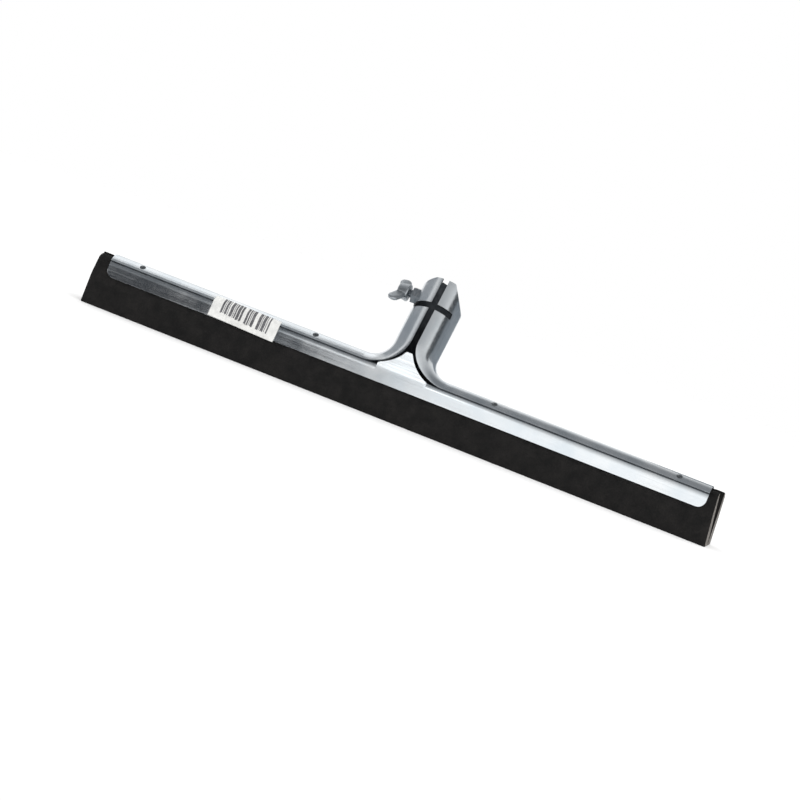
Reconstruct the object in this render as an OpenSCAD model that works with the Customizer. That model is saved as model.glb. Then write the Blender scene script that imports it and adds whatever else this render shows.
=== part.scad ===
// Floor squeegee head. A zinc-plated steel sheet rolls over two cellular rubber blades and is drawn
// up in the middle into flared legs and a split socket that clamps a round handle.
// Millimetres. The blades stand on the floor at z = 0, the front faces -Y, the length runs along X.

/* [Blades] */
// Length of both rubber blades
blade_len = 450; // [350:5:650]
// How far the blades stick out past each end of the frame
blade_overhang = 9.5; // [2:0.5:20]
// Thickness of one blade where it meets the floor
blade_foot = 12.4; // [11:0.1:16]
// Gap between the two blades at the floor
foot_gap = 0.5; // [0.3:0.1:3]
// How far below the frame a blade reaches its full swell
swell_drop = 3; // [1:0.5:6]
// How far a blade swells past the face of its plate
swell_out = 0.6; // [0.2:0.1:1.5]

/* [Frame] */
// Thickness of the frame's steel sheet
sheet_t = 1.2; // [0.8:0.1:1.6]
// Outside radius of the rolled top
roll_r = 10; // [8.5:0.1:12]
// Height of the rolled top's axis above the floor
roll_z = 27; // [25:0.5:32]
// Height of the lower edges of the front and back plates
skirt_z = 22; // [18:0.5:24]
// Where the front lip ends, in degrees up from the front
lip_angle = 36; // [30:1:44]
// Rounding of the lower corners at the frame's ends
corner_r = 5.5; // [2:0.5:9]

/* [Front plate] */
// Thickness of the front plate
plate_t = 1; // [0.6:0.1:1.4]
// Where the plate's rolled upper edge ends, in degrees up from the front
plate_roll_angle = 76; // [70:1:85]
// Width of the tongue at its foot
tongue_w = 36; // [24:1:44]
// Height of the tongue's tip above the floor
tongue_top_z = 47; // [42:0.5:50]
// Gap between the tongue and the legs beside it
tongue_gap = 0.8; // [0.5:0.1:1.5]

/* [Neck and socket] */
// How far the socket leans back from upright, in degrees
lean = 30; // [20:1:38]
// Height at which the socket's axis crosses the middle of the frame
neck_foot_z = 30; // [27:0.5:34]
// Radius of the bore that takes the handle
bore_r = 14.8; // [12.5:0.1:16]
// Distance along the axis at which the round socket begins
socket_start = 20; // [17:0.5:26]
// Distance along the axis of the tips of the clamp jaws
jaw_s = 70; // [68:0.5:78]
// Distance along the axis of the top of the right side
right_s = 56.5; // [54:0.5:58]
// Distance along the axis of the top of the left side, which carries the nut
left_s = 66; // [65:0.5:68]
// Distance along the axis of the top of the back wall
back_s = 81; // [78:0.5:88]
// Distance from the slit's middle to the outer corners of the jaws' tips
jaw_tip = 7; // [4:0.5:9]
// Half the width of the back wall's top
back_tip = 1.5; // [1:0.5:5]
// Width of the slit down the front of the socket
slit_w = 3; // [1.5:0.1:5]
// Distance from the middle at which the legs begin to flare out of the rolled top
flare_x = 29.5; // [26:0.5:36]
// How closely the front edges of the legs follow a square corner, from 0 to 1
lip_pull = 0.8; // [0.6:0.05:0.9]
// How closely the sides of the legs follow a square corner, from 0 to 1
side_pull = 0.56; // [0.4:0.02:0.8]
// Distance along the axis at which the clamp's relief notch begins
notch_s = 46.5; // [42:0.5:47]
// Width of the relief notch
notch_w = 3.5; // [1.5:0.5:4]
// How far round the front the relief notch runs, in degrees
notch_sweep = 200; // [140:5:220]

/* [Clamp screw] */
// Distance along the socket's axis of the clamp screw
screw_s = 58.5; // [57.5:0.5:60]
// Outside radius of the screw's thread
thread_r = 3; // [2.5:0.1:3.5]
// Width of the weld nut across its flats
nut_af = 10; // [9:0.5:11]
// Height of the weld nut
nut_h = 4; // [3:0.5:6]
// Free thread between the nut and the wing head
screw_gap = 2.5; // [2.3:0.1:6]
// Radius of the wing head's hub at its foot
hub_r = 6; // [5:0.1:8]
// Height of the hub
hub_h = 8; // [7:0.5:12]
// Distance from one wing tip to the other
wing_span = 30; // [27:1:40]
// Height of the wing tips over the foot of the hub
wing_h = 11; // [10.5:0.5:18]
// Radius of the rounded wing tips
wing_tip_r = 4; // [3:0.1:4.5]
// Thickness of the wings
wing_t = 3.6; // [2.5:0.1:5]
// Turn of the wings from the socket's front at rest, in degrees
wing_angle = 55; // [0:5:90]

/* [Rivets] */
// Number of rivets along the frame
rivet_count = 4; // [2:2:6]
// Distance of the last rivets from the frame's ends
rivet_inset = 22; // [10:0.5:26]
// Where the rivets stand on the rolled top, in degrees up from the front
rivet_angle = 60; // [55:1:62]
// Radius of the rivet shanks
rivet_r = 1.3; // [1:0.1:1.6]
// Radius of the rivet heads
rivet_head_r = 2.1; // [1.8:0.1:2.4]
// Height of the rivet heads
rivet_head_h = 0.8; // [0.5:0.1:1.2]
// Height of the upset tails inside
rivet_tail_h = 0.7; // [0.4:0.1:1]

/* [Label] */
// Distance of the label's middle from the middle of the frame
label_x = 113.5; // [90:0.5:125]
// Width of the label
label_w = 49; // [30:1:55]
// Thickness of the paper
label_t = 0.15; // [0.1:0.05:0.3]
// Where the label's top edge lies on the rolled top, in degrees up from the front
label_top_angle = 64; // [50:1:80]
// Height of the label's lower edge over the plate's lower edge
label_rise = 0.4; // [0.2:0.1:3]

/* [Fits] */
// Between the plate's rolled edge and the frame's roll
plate_fit = 0.05; // [0.02:0.01:0.1]
// Between the rubber and the sheet that pinches it
foam_fit = 0.15; // [0.1:0.05:0.3]
// Between the two blades where they are pinched together
split_fit = 0.2; // [0.1:0.05:0.4]
// Round the thread in the nut and in the wing head
thread_fit = 0.05; // [0.02:0.01:0.1]
// Round the rivets in their holes
rivet_fit = 0.05; // [0.02:0.01:0.1]
// Under the nut, the rivet heads and the paper
seat_fit = 0.02; // [0.01:0.01:0.05]

/* [Hidden] */
$fn = 64;
reach = 400;

frame_len = blade_len - 2 * blade_overhang;
skin_r = roll_r - sheet_t;
plate_r = skin_r - plate_fit;
plate_in_r = plate_r - plate_t;
front_foam_r = plate_in_r - foam_fit;
rear_foam_r = skin_r - foam_fit;
socket_r = bore_r + sheet_t;
axis_dir = [0, sin(lean), cos(lean)];
front_dir = [0, -cos(lean), sin(lean)];

// The front plate runs straight from its lower edge until it is tangent to its own roll.
plate_edge = [-roll_r, skirt_z];
edge_dist = norm([roll_r, roll_z - skirt_z]);
plate_lean = acos(plate_r / edge_dist) - atan2(roll_z - skirt_z, roll_r);
plate_up = [sin(plate_lean), cos(plate_lean)];
plate_in = [cos(plate_lean), -sin(plate_lean)];

// The flare is a lofted shell whose ends run a little way inside the plain sheet.
flare_seat = 1.5;
flare_inset = 0.05;
flare_steps = 10;
flare_rows = 14;
web_rows = 2;
last_step = flare_steps + 2;
last_row = flare_rows + web_rows;
pull_fade = 0.35;

screw_foot = socket_r + nut_h + screw_gap;
hub_crown = 2;
hub_bore = hub_h - hub_crown;
tip_clear = 0.1;

rivet_reach = frame_len / 2 - rivet_inset;
rivet_pitch = 2 * rivet_reach / (rivet_count - 1);
tail_spread = 0.5;
tail_r = rivet_r + tail_spread;
tail_base = plate_in_r - seat_fit;
tail_clear = 0.3;

// How far the two stretches of the label run into each other, in degrees round the roll.
label_lap = 2;

// Places an outline drawn in Y and Z and runs it along X.
module along_x(length) {
    rotate([90, 0, 90]) linear_extrude(height = length, center = true) children();
}

// Places an outline drawn in X and Z and runs it along Y.
module along_y(length) {
    rotate([90, 0, 0]) linear_extrude(height = length, center = true) children();
}

// Stands its children on the socket's axis, with the front of the socket towards -Y.
module in_neck() {
    translate([0, 0, neck_foot_z]) rotate([-lean, 0, 0]) children();
}

// Turns its children so that +Z points out of the left side of the socket at the clamp screw.
module on_screw() {
    in_neck() translate([0, 0, screw_s]) rotate([0, -90, 0]) children();
}

// Repeats its children at each rivet, with +Z along the roll's radius.
module at_rivets() {
    for (i = [0 : rivet_count - 1])
        translate([i * rivet_pitch - rivet_reach, 0, roll_z]) rotate([90 - rivet_angle, 0, 0]) children();
}

// A point in Y and Z on the rolled top, by radius and angle up from the front.
function roll_point(r, a) = [-r * cos(a), roll_z + r * sin(a)];

// A point on the rolled top at a place along X.
function roll_at(r, a, x) = [x, -r * cos(a), roll_z + r * sin(a)];

// A point on the socket, by radius, angle from its front towards the left, and distance along the axis.
function ring_at(r, a, s) =
    [0, 0, neck_foot_z] + s * axis_dir + r * cos(a) * front_dir - [r * sin(a), 0, 0];

// Part of a ring round the roll's axis, between two angles up from the front.
module roll_sector(r_out, r_in, a_from, a_to) {
    steps = 4;
    wedge = [for (i = [0 : steps]) let (a = a_from + (a_to - a_from) * i / steps) 2 * r_out * [-cos(a), sin(a)]];
    translate([0, roll_z]) intersection() {
        difference() {
            circle(r_out);
            circle(r_in);
        }
        polygon(concat([[0, 0]], wedge));
    }
}

// Front view of both plates: straight sides and rounded lower corners.
module skirt_outline() {
    for (side = [-1, 1])
        translate([side * (frame_len / 2 - corner_r), skirt_z + corner_r]) circle(corner_r);
    translate([corner_r - frame_len / 2, skirt_z]) square([frame_len - 2 * corner_r, reach]);
    translate([-frame_len / 2, skirt_z + corner_r]) square([frame_len, reach]);
}

module back_leg(top) {
    translate([skin_r, skirt_z]) square([sheet_t, top - skirt_z]);
}

// The rolled top on both sides of the neck, with the back plate running through.
module rolled_channel() {
    inner = flare_x + flare_seat / 2;
    side_len = frame_len / 2 - inner;
    intersection() {
        union() {
            for (side = [-1, 1])
                translate([side * (inner + side_len / 2), 0, 0]) along_x(side_len) {
                    roll_sector(roll_r, skin_r, lip_angle, 180);
                    back_leg(roll_z);
                }
            along_x(2 * inner) back_leg(roll_z - flare_seat / 2);
        }
        along_y(reach) skirt_outline();
    }
}

// One lengthwise line of a leg: out of the rolled top along X, then up along the socket.
// q runs from the lip at 0 to the middle of the back at 1.
function leg_curve(q, r_roll, r_ring, t) =
    let (lip = lip_angle + asin(flare_inset / roll_r),
         seam = asin((slit_w / 2 + flare_inset) / r_ring),
         from = roll_at(r_roll, lip + q * (180 - lip), -flare_x),
         to = ring_at(r_ring, seam + q * (180 - seam), socket_start),
         pull = lip_pull + (side_pull - lip_pull) * min(1, q / pull_fade),
         out = from + [pull * (to.x - from.x), 0, 0],
         in = to - pull * (to.z - from.z) / cos(lean) * axis_dir)
    pow(1 - t, 3) * from + 3 * t * pow(1 - t, 2) * out + 3 * t * t * (1 - t) * in + pow(t, 3) * to;

function leg_point(step, q, r_roll, r_ring) =
    step == 0 ? leg_curve(q, r_roll, r_ring, 0) - [flare_seat, 0, 0]
    : step == last_step ? leg_curve(q, r_roll, r_ring, 1) + flare_seat * axis_dir
    : leg_curve(q, r_roll, r_ring, (step - 1) / flare_steps);

// The web closes the back between the legs and runs down into the back plate.
function web_point(step, w, r_roll, r_ring) =
    let (top = leg_point(min(step, flare_steps + 1), 1, r_roll, r_ring),
         foot = [top.x, r_roll, roll_z - flare_seat])
    top + w * (foot - top);

function shell_point(layer, half, step, row) =
    let (r_roll = layer == 0 ? roll_r - flare_inset : skin_r + flare_inset,
         r_ring = layer == 0 ? socket_r - flare_inset : bore_r + flare_inset,
         p = row <= flare_rows ? leg_point(step, row / flare_rows, r_roll, r_ring)
             : web_point(step, (row - flare_rows) / web_rows, r_roll, r_ring))
    [half == 0 ? p.x : -p.x, p.y, p.z];

// Both halves share the points on the middle of the back.
function shell_index(layer, half, step, row) =
    let (owner = row >= flare_rows && step > flare_steps ? 0 : half)
    ((layer * 2 + owner) * (last_step + 1) + step) * (last_row + 1) + row;

function facet_pair(a, b, c, d, flip) = flip ? [[a, c, b], [a, d, c]] : [[a, b, c], [a, c, d]];

// The flared legs and the back web: an outer and an inner skin, closed along every edge.
module flared_neck() {
    points = [for (layer = [0, 1]) for (half = [0, 1]) for (step = [0 : last_step]) for (row = [0 : last_row])
        shell_point(layer, half, step, row)];
    skins = [for (layer = [0, 1]) for (half = [0, 1]) for (row = [0 : last_row - 1])
        for (step = [0 : (row < flare_rows ? last_step : flare_steps + 1) - 1])
            each facet_pair(shell_index(layer, half, step, row), shell_index(layer, half, step, row + 1),
                            shell_index(layer, half, step + 1, row + 1), shell_index(layer, half, step + 1, row),
                            layer != half)];
    lip_edges = [for (half = [0, 1]) for (step = [0 : last_step - 1])
        each facet_pair(shell_index(0, half, step, 0), shell_index(0, half, step + 1, 0),
                        shell_index(1, half, step + 1, 0), shell_index(1, half, step, 0), half == 1)];
    web_edges = [for (half = [0, 1]) for (step = [0 : flare_steps])
        each facet_pair(shell_index(0, half, step, last_row), shell_index(1, half, step, last_row),
                        shell_index(1, half, step + 1, last_row), shell_index(0, half, step + 1, last_row),
                        half == 1)];
    roll_ends = [for (half = [0, 1]) for (row = [0 : last_row - 1])
        each facet_pair(shell_index(0, half, 0, row), shell_index(1, half, 0, row),
                        shell_index(1, half, 0, row + 1), shell_index(0, half, 0, row + 1), half == 1)];
    ring_ends = [for (half = [0, 1]) for (row = [0 : flare_rows - 1])
        each facet_pair(shell_index(0, half, last_step, row), shell_index(0, half, last_step, row + 1),
                        shell_index(1, half, last_step, row + 1), shell_index(1, half, last_step, row),
                        half == 1)];
    polyhedron(points, concat(skins, lip_edges, web_edges, roll_ends, ring_ends));
}

// The space above one half of the socket's top, seen from the front, given the line that it stands on.
module above(line) {
    side_x = socket_r + 1;
    side_s = line[len(line) - 1].y;
    polygon(concat(line, [[side_x, side_s], [side_x, back_s + 1], [0, back_s + 1]]));
}

// What is cut from the top of one half of the socket, whose side ends at side_s. In front a jaw slopes
// from its tip to the side. The back wall rises from there to a higher tip, which guides the handle.
module top_cut(side_s) {
    translate([0, -reach / 2, 0]) along_y(reach) above([[0, jaw_s], [jaw_tip, jaw_s], [socket_r, side_s]]);
    translate([0, reach / 2, 0]) along_y(reach) above([[0, back_s], [back_tip, back_s], [socket_r, side_s]]);
}

module socket() {
    start = socket_start + flare_seat / 2;
    notch_back = -socket_r * cos(notch_sweep / 2);
    difference() {
        in_neck() difference() {
            translate([0, 0, start]) cylinder(r = socket_r, h = back_s - start);
            cylinder(r = bore_r, h = reach);
            translate([-slit_w / 2, -reach, 0]) cube([slit_w, reach, reach]);
            translate([-reach / 2, notch_back - reach, notch_s]) cube([reach, reach, notch_w]);
            top_cut(right_s);
            mirror([1, 0, 0]) top_cut(left_s);
        }
        on_screw() cylinder(r = thread_r + thread_fit, h = reach);
    }
}

module rivet_holes() {
    at_rivets() cylinder(r = rivet_r + rivet_fit, h = 2 * roll_r);
}

module frame_pressing() {
    color("silver") {
        difference() {
            rolled_channel();
            rivet_holes();
        }
        flared_neck();
        socket();
    }
}

// The flat part of the plate, from its lower edge up to a height.
module flat_profile(top_z) {
    tip = plate_edge + (top_z - plate_edge.y) / plate_up.y * plate_up;
    polygon([plate_edge, tip, tip + plate_t * plate_in, plate_edge + plate_t * plate_in]);
}

// Front view of the tongue: its sides keep their gap from the front edges of the legs.
module tongue_outline() {
    steps = 16;
    left = [for (i = [0 : steps]) let (p = leg_curve(0, roll_r, socket_r, i / steps)) [p.x + tongue_gap, p.z - tongue_gap]];
    right = [for (i = [steps : -1 : 0]) [-left[i].x, left[i].y]];
    intersection() {
        polygon(concat([[-flare_x, skirt_z]], left, right, [[flare_x, skirt_z]]));
        translate([-tongue_w / 2, 0]) square([tongue_w, reach]);
    }
}

module front_plate() {
    tangent_z = roll_point(plate_r, plate_lean).y;
    side_len = (frame_len - tongue_w) / 2;
    color("gainsboro") difference() {
        union() {
            intersection() {
                union() {
                    along_x(frame_len) flat_profile(tangent_z);
                    for (side = [-1, 1])
                        translate([side * (tongue_w + side_len) / 2, 0, 0])
                            along_x(side_len) roll_sector(plate_r, plate_in_r, plate_lean, plate_roll_angle);
                }
                along_y(reach) skirt_outline();
            }
            intersection() {
                along_x(tongue_w) flat_profile(tongue_top_z);
                along_y(reach) tongue_outline();
            }
        }
        rivet_holes();
    }
}

module plate_rivets() {
    dome_r = (pow(rivet_head_r, 2) + pow(rivet_head_h, 2)) / (2 * rivet_head_h);
    color("darkgray") difference() {
        at_rivets() {
            translate([0, 0, tail_base - rivet_tail_h]) cylinder(r = tail_r, h = rivet_tail_h);
            translate([0, 0, tail_base]) cylinder(r = rivet_r, h = roll_r - tail_base);
            intersection() {
                translate([0, 0, roll_r + rivet_head_h - dome_r]) sphere(dome_r);
                translate([0, 0, roll_r - 1]) cylinder(r = rivet_head_r, h = 2 * rivet_head_h + 1);
            }
        }
        difference() {
            translate([0, 0, roll_z]) rotate([0, 90, 0]) cylinder(r = roll_r + seat_fit, h = frame_len, center = true);
            at_rivets() cylinder(r = rivet_r, h = 2 * roll_r);
            translate([0, 0, roll_z]) rotate([0, 90, 0]) cylinder(r = tail_base, h = reach, center = true);
        }
    }
}

// Half of a section through the blades below the frame, seen on the +Y side. mouth is the half width
// where the sheet pinches them.
module foot_profile(mouth) {
    polygon([[split_fit / 2, skirt_z], [mouth, skirt_z], [roll_r + swell_out, skirt_z - swell_drop],
             [foot_gap / 2 + blade_foot, 0], [foot_gap / 2, 0], [split_fit / 2, skirt_z - swell_drop]]);
}

// The front blade lies against the leaning front plate and inside its roll.
module front_blade() {
    inner = roll_point(front_foam_r, plate_lean);
    mouth = inner - (inner.y - skirt_z) / plate_up.y * plate_up;
    color("black") difference() {
        along_x(blade_len) {
            intersection() {
                union() {
                    translate([0, roll_z]) circle(front_foam_r);
                    polygon([inner, mouth, [0, skirt_z], [0, inner.y]]);
                }
                translate([-reach - split_fit / 2, skirt_z - swell_drop / 2]) square(reach);
            }
            mirror([1, 0]) foot_profile(-mouth.x);
        }
        at_rivets() translate([0, 0, tail_base - rivet_tail_h - tail_clear])
            cylinder(r = tail_r + tail_clear, h = reach);
    }
}

module rear_blade() {
    pinch_z = skirt_z - swell_drop / 2;
    color("black") union() {
        along_x(blade_len) intersection() {
            union() {
                translate([0, roll_z]) circle(rear_foam_r);
                translate([0, pinch_z]) square([rear_foam_r, roll_z - pinch_z]);
            }
            translate([split_fit / 2, pinch_z]) square(reach);
        }
        along_x(blade_len) foot_profile(rear_foam_r);
    }
}

module weld_nut() {
    color("slategray") difference() {
        on_screw() difference() {
            translate([0, 0, bore_r - sheet_t]) cylinder(d = nut_af / cos(30), h = socket_r + nut_h - bore_r + sheet_t, $fn = 6);
            cylinder(r = thread_r + thread_fit, h = reach);
        }
        in_neck() cylinder(r = socket_r + seat_fit, h = reach);
    }
}

// The stud's tip lies flush with the bore at rest, so the socket is open for the handle.
module screw_shank() {
    chamfer = 0.6;
    tail = screw_foot + hub_bore - tip_clear;
    color("dimgray") on_screw() rotate_extrude()
        polygon([[0, bore_r], [thread_r - chamfer, bore_r], [thread_r, bore_r + chamfer], [thread_r, tail], [0, tail]]);
}

// One wing, drawn with X along the span and Y up the hub.
module wing_outline() {
    root = [hub_r / 2, wing_tip_r];
    tip = [wing_span / 2 - wing_tip_r, wing_h - wing_tip_r];
    run = tip - root;
    translate(root) circle(wing_tip_r);
    translate(tip) circle(wing_tip_r);
    translate(root) rotate(atan2(run.y, run.x)) translate([0, -wing_tip_r]) square([norm(run), 2 * wing_tip_r]);
}

module wing_head() {
    crown_r = 0.8 * hub_r;
    edge = 0.8;
    color("lightgray") on_screw() translate([0, 0, screw_foot]) difference() {
        union() {
            rotate_extrude() polygon([[0, 0], [hub_r - edge, 0], [hub_r, edge], [crown_r, hub_h - edge],
                                      [crown_r - edge, hub_h], [0, hub_h]]);
            for (side = [0, 180])
                rotate(90 - wing_angle + side) rotate([90, 0, 0]) linear_extrude(height = wing_t, center = true)
                    wing_outline();
        }
        translate([0, 0, -1]) cylinder(r = thread_r + thread_fit, h = hub_bore + 1);
    }
}

// The paper lies on the plate, bridges the step at the lip and follows the rolled top.
module paper_label() {
    face = roll_r + seat_fit;
    back = roll_point(face, lip_angle);
    front = roll_point(face + label_t, lip_angle);
    lap = roll_point(face + label_t / 2, lip_angle + label_lap);
    low = plate_edge + label_rise / plate_up.y * plate_up - seat_fit * plate_in;
    fold = roll_point(plate_r, plate_lean) - seat_fit * plate_in;
    color("white") translate([-label_x, 0, 0]) union() {
        along_x(label_w) roll_sector(face + label_t, face, lip_angle, label_top_angle);
        along_x(label_w) polygon([back, fold, low, low - label_t * plate_in, fold - label_t * plate_in, front, lap]);
    }
}

frame_pressing();
front_plate();
plate_rivets();
front_blade();
rear_blade();
weld_nut();
screw_shank();
wing_head();
paper_label();
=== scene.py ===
"""Floor squeegee head: a zinc-plated pressed frame that pinches two cellular rubber blades.

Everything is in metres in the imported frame: the length runs along X, the front faces -Y and the floor is
z = 0. Sizes below are written in millimetres and turned to metres where a mesh is made.
"""

import math
import random

import bmesh
import bpy
from mathutils import Matrix, Vector, noise


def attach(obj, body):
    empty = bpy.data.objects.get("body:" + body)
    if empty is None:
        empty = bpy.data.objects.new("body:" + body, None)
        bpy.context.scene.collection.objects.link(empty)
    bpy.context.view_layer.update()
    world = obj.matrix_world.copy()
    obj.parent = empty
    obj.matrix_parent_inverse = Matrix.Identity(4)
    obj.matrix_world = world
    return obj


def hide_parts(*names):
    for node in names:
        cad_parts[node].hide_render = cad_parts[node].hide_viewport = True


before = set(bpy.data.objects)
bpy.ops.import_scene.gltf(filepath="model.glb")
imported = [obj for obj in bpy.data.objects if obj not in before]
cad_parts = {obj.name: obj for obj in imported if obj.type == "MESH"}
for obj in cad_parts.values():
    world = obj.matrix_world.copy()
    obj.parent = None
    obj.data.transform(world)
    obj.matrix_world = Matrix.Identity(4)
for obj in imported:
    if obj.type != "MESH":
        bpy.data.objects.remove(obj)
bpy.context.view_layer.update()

MM = 0.001

# Meshing: points closer than this are one, and long runs get a point at about this step
WELD = 0.0005
LONG_STEP = 10

# Camera, read from the photograph's 800 by 800 frame
CAMERA_AZIMUTH = 13.29
CAMERA_ELEVATION = 6.37
CAMERA_ROLL = 19.93
CAMERA_DISTANCE = 1735
CAMERA_TARGET = (3.1, 0, 15.1)
SENSOR_WIDTH = 36
LENS = 118.9

# Edges that are broken a little, on each piece
EDGE_ANGLE = math.radians(50)
CAD_EDGE_ANGLE = math.radians(30)
SHEET_EDGE = 0.25
PLATE_EDGE = 0.2
RIVET_EDGE = 0.15
NUT_EDGE = 0.4

# Pressed frame
FRAME_HALF = 215.5
SHEET_T = 1.2
ROLL_R = 10
ROLL_Z = 27
SKIRT_Z = 22
LIP_ANGLE = math.radians(36)
CORNER_R = 5.5

# Neck and socket, along an axis that leans back from the middle of the frame
LEAN = math.radians(30)
NECK_FOOT_Z = 30
SOCKET_R = 16
SOCKET_START = 20
NOTCH_FROM = 46.2
NOTCH_TO = 50.6
NOTCH_LEFT = math.radians(100)
NOTCH_RIGHT = math.radians(55)
JAW_S = 70
LEFT_S = 66
RIGHT_S = 56.5
BACK_S = 81
JAW_TIP = 7
BACK_TIP_LEFT = 9.5
BACK_TIP_RIGHT = 1.5
SLIT_W = 4.4
FLARE_X = 29.5
LIP_PULL = 0.5
SIDE_PULL = 0.56
PULL_FADE = 0.35
FOLD_Z = 25.5

# Front plate
PLATE_T = 1
PLATE_R = 8.75
PLATE_ROLL_END = math.radians(76)
TONGUE_HALF = 18
TONGUE_TOP_Z = 47
TONGUE_GAP = 0.8
TONGUE_RIGHT_GAP = 2
TONGUE_FOLD = math.radians(5)
FOLD_SOFT = 4

# Clamp screw, which points out of the left side of the socket
SCREW_S = 58.5
SCREW_TIP = 14.8
SCREW_TAIL = 28.4
THREAD_R = 3
THREAD_DEPTH = 0.55
THREAD_PITCH = 1
HOLE_R = 3.1
HOLE_FROM = 18
HOLE_TO = 11.8
HUB_FOOT = 22.5
HUB_R = 6
HUB_H = 8
HUB_BORE = 6
WING_SPAN = 30
WING_H = 11
WING_TIP_R = 4
WING_T = 3.6
WING_ANGLE = math.radians(55)

# Rubber blades
BLADE_HALF = 225
FOOT_GAP = 0.5
FOOT_T = 12.4
SPLIT = 0.2
SWELL_Z = 19
SWELL_Y = 10.6
FRONT_FOAM_R = 7.6
REAR_FOAM_R = 8.65
FRONT_MOUTH = 8.82
REAR_TOP = 0.02
FRONT_SAW = 4
REAR_SAW = 1.3

# Paper label on the left of the front
LABEL_X = -113.5
LABEL_W = 49
LABEL_T = 0.15
LABEL_TURN = math.radians(-1.8)

AXIS = Vector((0, math.sin(LEAN), math.cos(LEAN)))
NECK_FRONT = Vector((0, -math.cos(LEAN), math.sin(LEAN)))
NECK_FOOT = Vector((0, 0, NECK_FOOT_Z))
SEAM_ANGLE = math.asin(SLIT_W / 2 / SOCKET_R)

# The plate runs straight from its lower edge until it is tangent to its own roll.
EDGE_DIST = math.hypot(ROLL_R, ROLL_Z - SKIRT_Z)
PLATE_LEAN = math.acos(PLATE_R / EDGE_DIST) - math.atan2(ROLL_Z - SKIRT_Z, ROLL_R)
PLATE_FLAT = math.sqrt(EDGE_DIST ** 2 - PLATE_R ** 2)
PLATE_UP = Vector((0, math.sin(PLATE_LEAN), math.cos(PLATE_LEAN)))
PLATE_OUT = Vector((0, -math.cos(PLATE_LEAN), math.sin(PLATE_LEAN)))


def srgb(code):
    """Turns a written sRGB hex colour into the linear colour that a socket takes."""
    parts = [int(code[i:i + 2], 16) / 255 for i in (1, 3, 5)]
    return [p / 12.92 if p <= 0.04045 else ((p + 0.055) / 1.055) ** 2.4 for p in parts] + [1.0]


def add(tree, kind, inputs=None, ramp=(), **settings):
    """Adds a shader node, sets its properties and ramp, and fills its sockets with values or with links."""
    made = tree.nodes.new(kind)
    for name, value in settings.items():
        setattr(made, name, value)
    for i, (place, code) in enumerate(ramp):
        made.color_ramp.elements[i].position = place
        made.color_ramp.elements[i].color = srgb(code)
    for name, value in (inputs or {}).items():
        if isinstance(value, bpy.types.NodeSocket):
            tree.links.new(value, made.inputs[name])
        else:
            made.inputs[name].default_value = value
    return made


def new_material(name):
    """An empty node material, and its tree."""
    material = bpy.data.materials.new(name)
    material.use_nodes = True
    tree = material.node_tree
    tree.nodes.clear()
    return material, tree


def per_mm(size):
    """A texture scale, in repeats per metre, for a pattern of this size in millimetres."""
    return 1 / (size * MM)


def bright_zinc():
    # Bright zinc plate on cold-rolled sheet: a slightly blue mirror that the rolling lines, the handling
    # and the uneven plating blur in streaks and clouds.
    material, tree = new_material("bright_zinc_plate")
    place = add(tree, "ShaderNodeTexCoord").outputs["Object"]
    along = add(tree, "ShaderNodeMapping", {
        "Vector": place, "Scale": (per_mm(60), per_mm(0.9), per_mm(0.9))})
    streaks = add(tree, "ShaderNodeTexNoise", {"Vector": along.outputs[0], "Scale": 1.0, "Detail": 3.0})
    clouds = add(tree, "ShaderNodeTexNoise", {
        "Vector": place, "Scale": per_mm(22), "Detail": 4.0, "Roughness": 0.6})
    spangle = add(tree, "ShaderNodeTexVoronoi", {"Vector": place, "Scale": per_mm(3.5), "Randomness": 1.0})
    tint = add(tree, "ShaderNodeValToRGB", {"Fac": clouds.outputs["Fac"]},
               ramp=((0.3, "#cfd6db"), (0.7, "#e6e9eb")))
    worn = add(tree, "ShaderNodeMath", {
        0: clouds.outputs["Fac"], 1: streaks.outputs["Fac"]}, operation="MULTIPLY")
    rough = add(tree, "ShaderNodeMapRange", {
        "Value": worn.outputs[0], "From Min": 0.12, "From Max": 0.42, "To Min": 0.13, "To Max": 0.26})
    uneven = add(tree, "ShaderNodeTexNoise", {"Vector": place, "Scale": per_mm(14), "Detail": 1.0})
    dents = add(tree, "ShaderNodeBump", {
        "Height": uneven.outputs["Fac"], "Strength": 0.35, "Distance": 0.07 * MM})
    flakes = add(tree, "ShaderNodeBump", {
        "Height": spangle.outputs["Distance"], "Normal": dents.outputs[0], "Strength": 0.1,
        "Distance": 0.02 * MM})
    lines = add(tree, "ShaderNodeBump", {
        "Height": streaks.outputs["Fac"], "Normal": flakes.outputs[0], "Strength": 0.25,
        "Distance": 0.012 * MM})
    shader = add(tree, "ShaderNodeBsdfPrincipled", {
        "Base Color": tint.outputs[0], "Metallic": 1.0, "Roughness": rough.outputs[0],
        "Normal": lines.outputs[0]})
    add(tree, "ShaderNodeOutputMaterial", {"Surface": shader.outputs[0]})
    return material


def shaded_inner_zinc():
    # The inside of the roll and the socket, and the sheet's cut rims: a rougher zinc whose dark colour is
    # painted shade, for the shade deep in the slit, the notch and the gaps along the edges.
    material, tree = new_material("inner_zinc_painted_shade")
    place = add(tree, "ShaderNodeTexCoord").outputs["Object"]
    film = add(tree, "ShaderNodeTexNoise", {
        "Vector": place, "Scale": per_mm(6), "Detail": 4.0, "Roughness": 0.6})
    tint = add(tree, "ShaderNodeValToRGB", {"Fac": film.outputs["Fac"]},
               ramp=((0.3, "#33363a"), (0.7, "#575b5f")))
    rough = add(tree, "ShaderNodeMapRange", {"Value": film.outputs["Fac"], "To Min": 0.4, "To Max": 0.65})
    shader = add(tree, "ShaderNodeBsdfPrincipled", {
        "Base Color": tint.outputs[0], "Metallic": 1.0, "Roughness": rough.outputs[0]})
    add(tree, "ShaderNodeOutputMaterial", {"Surface": shader.outputs[0]})
    return material


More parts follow.
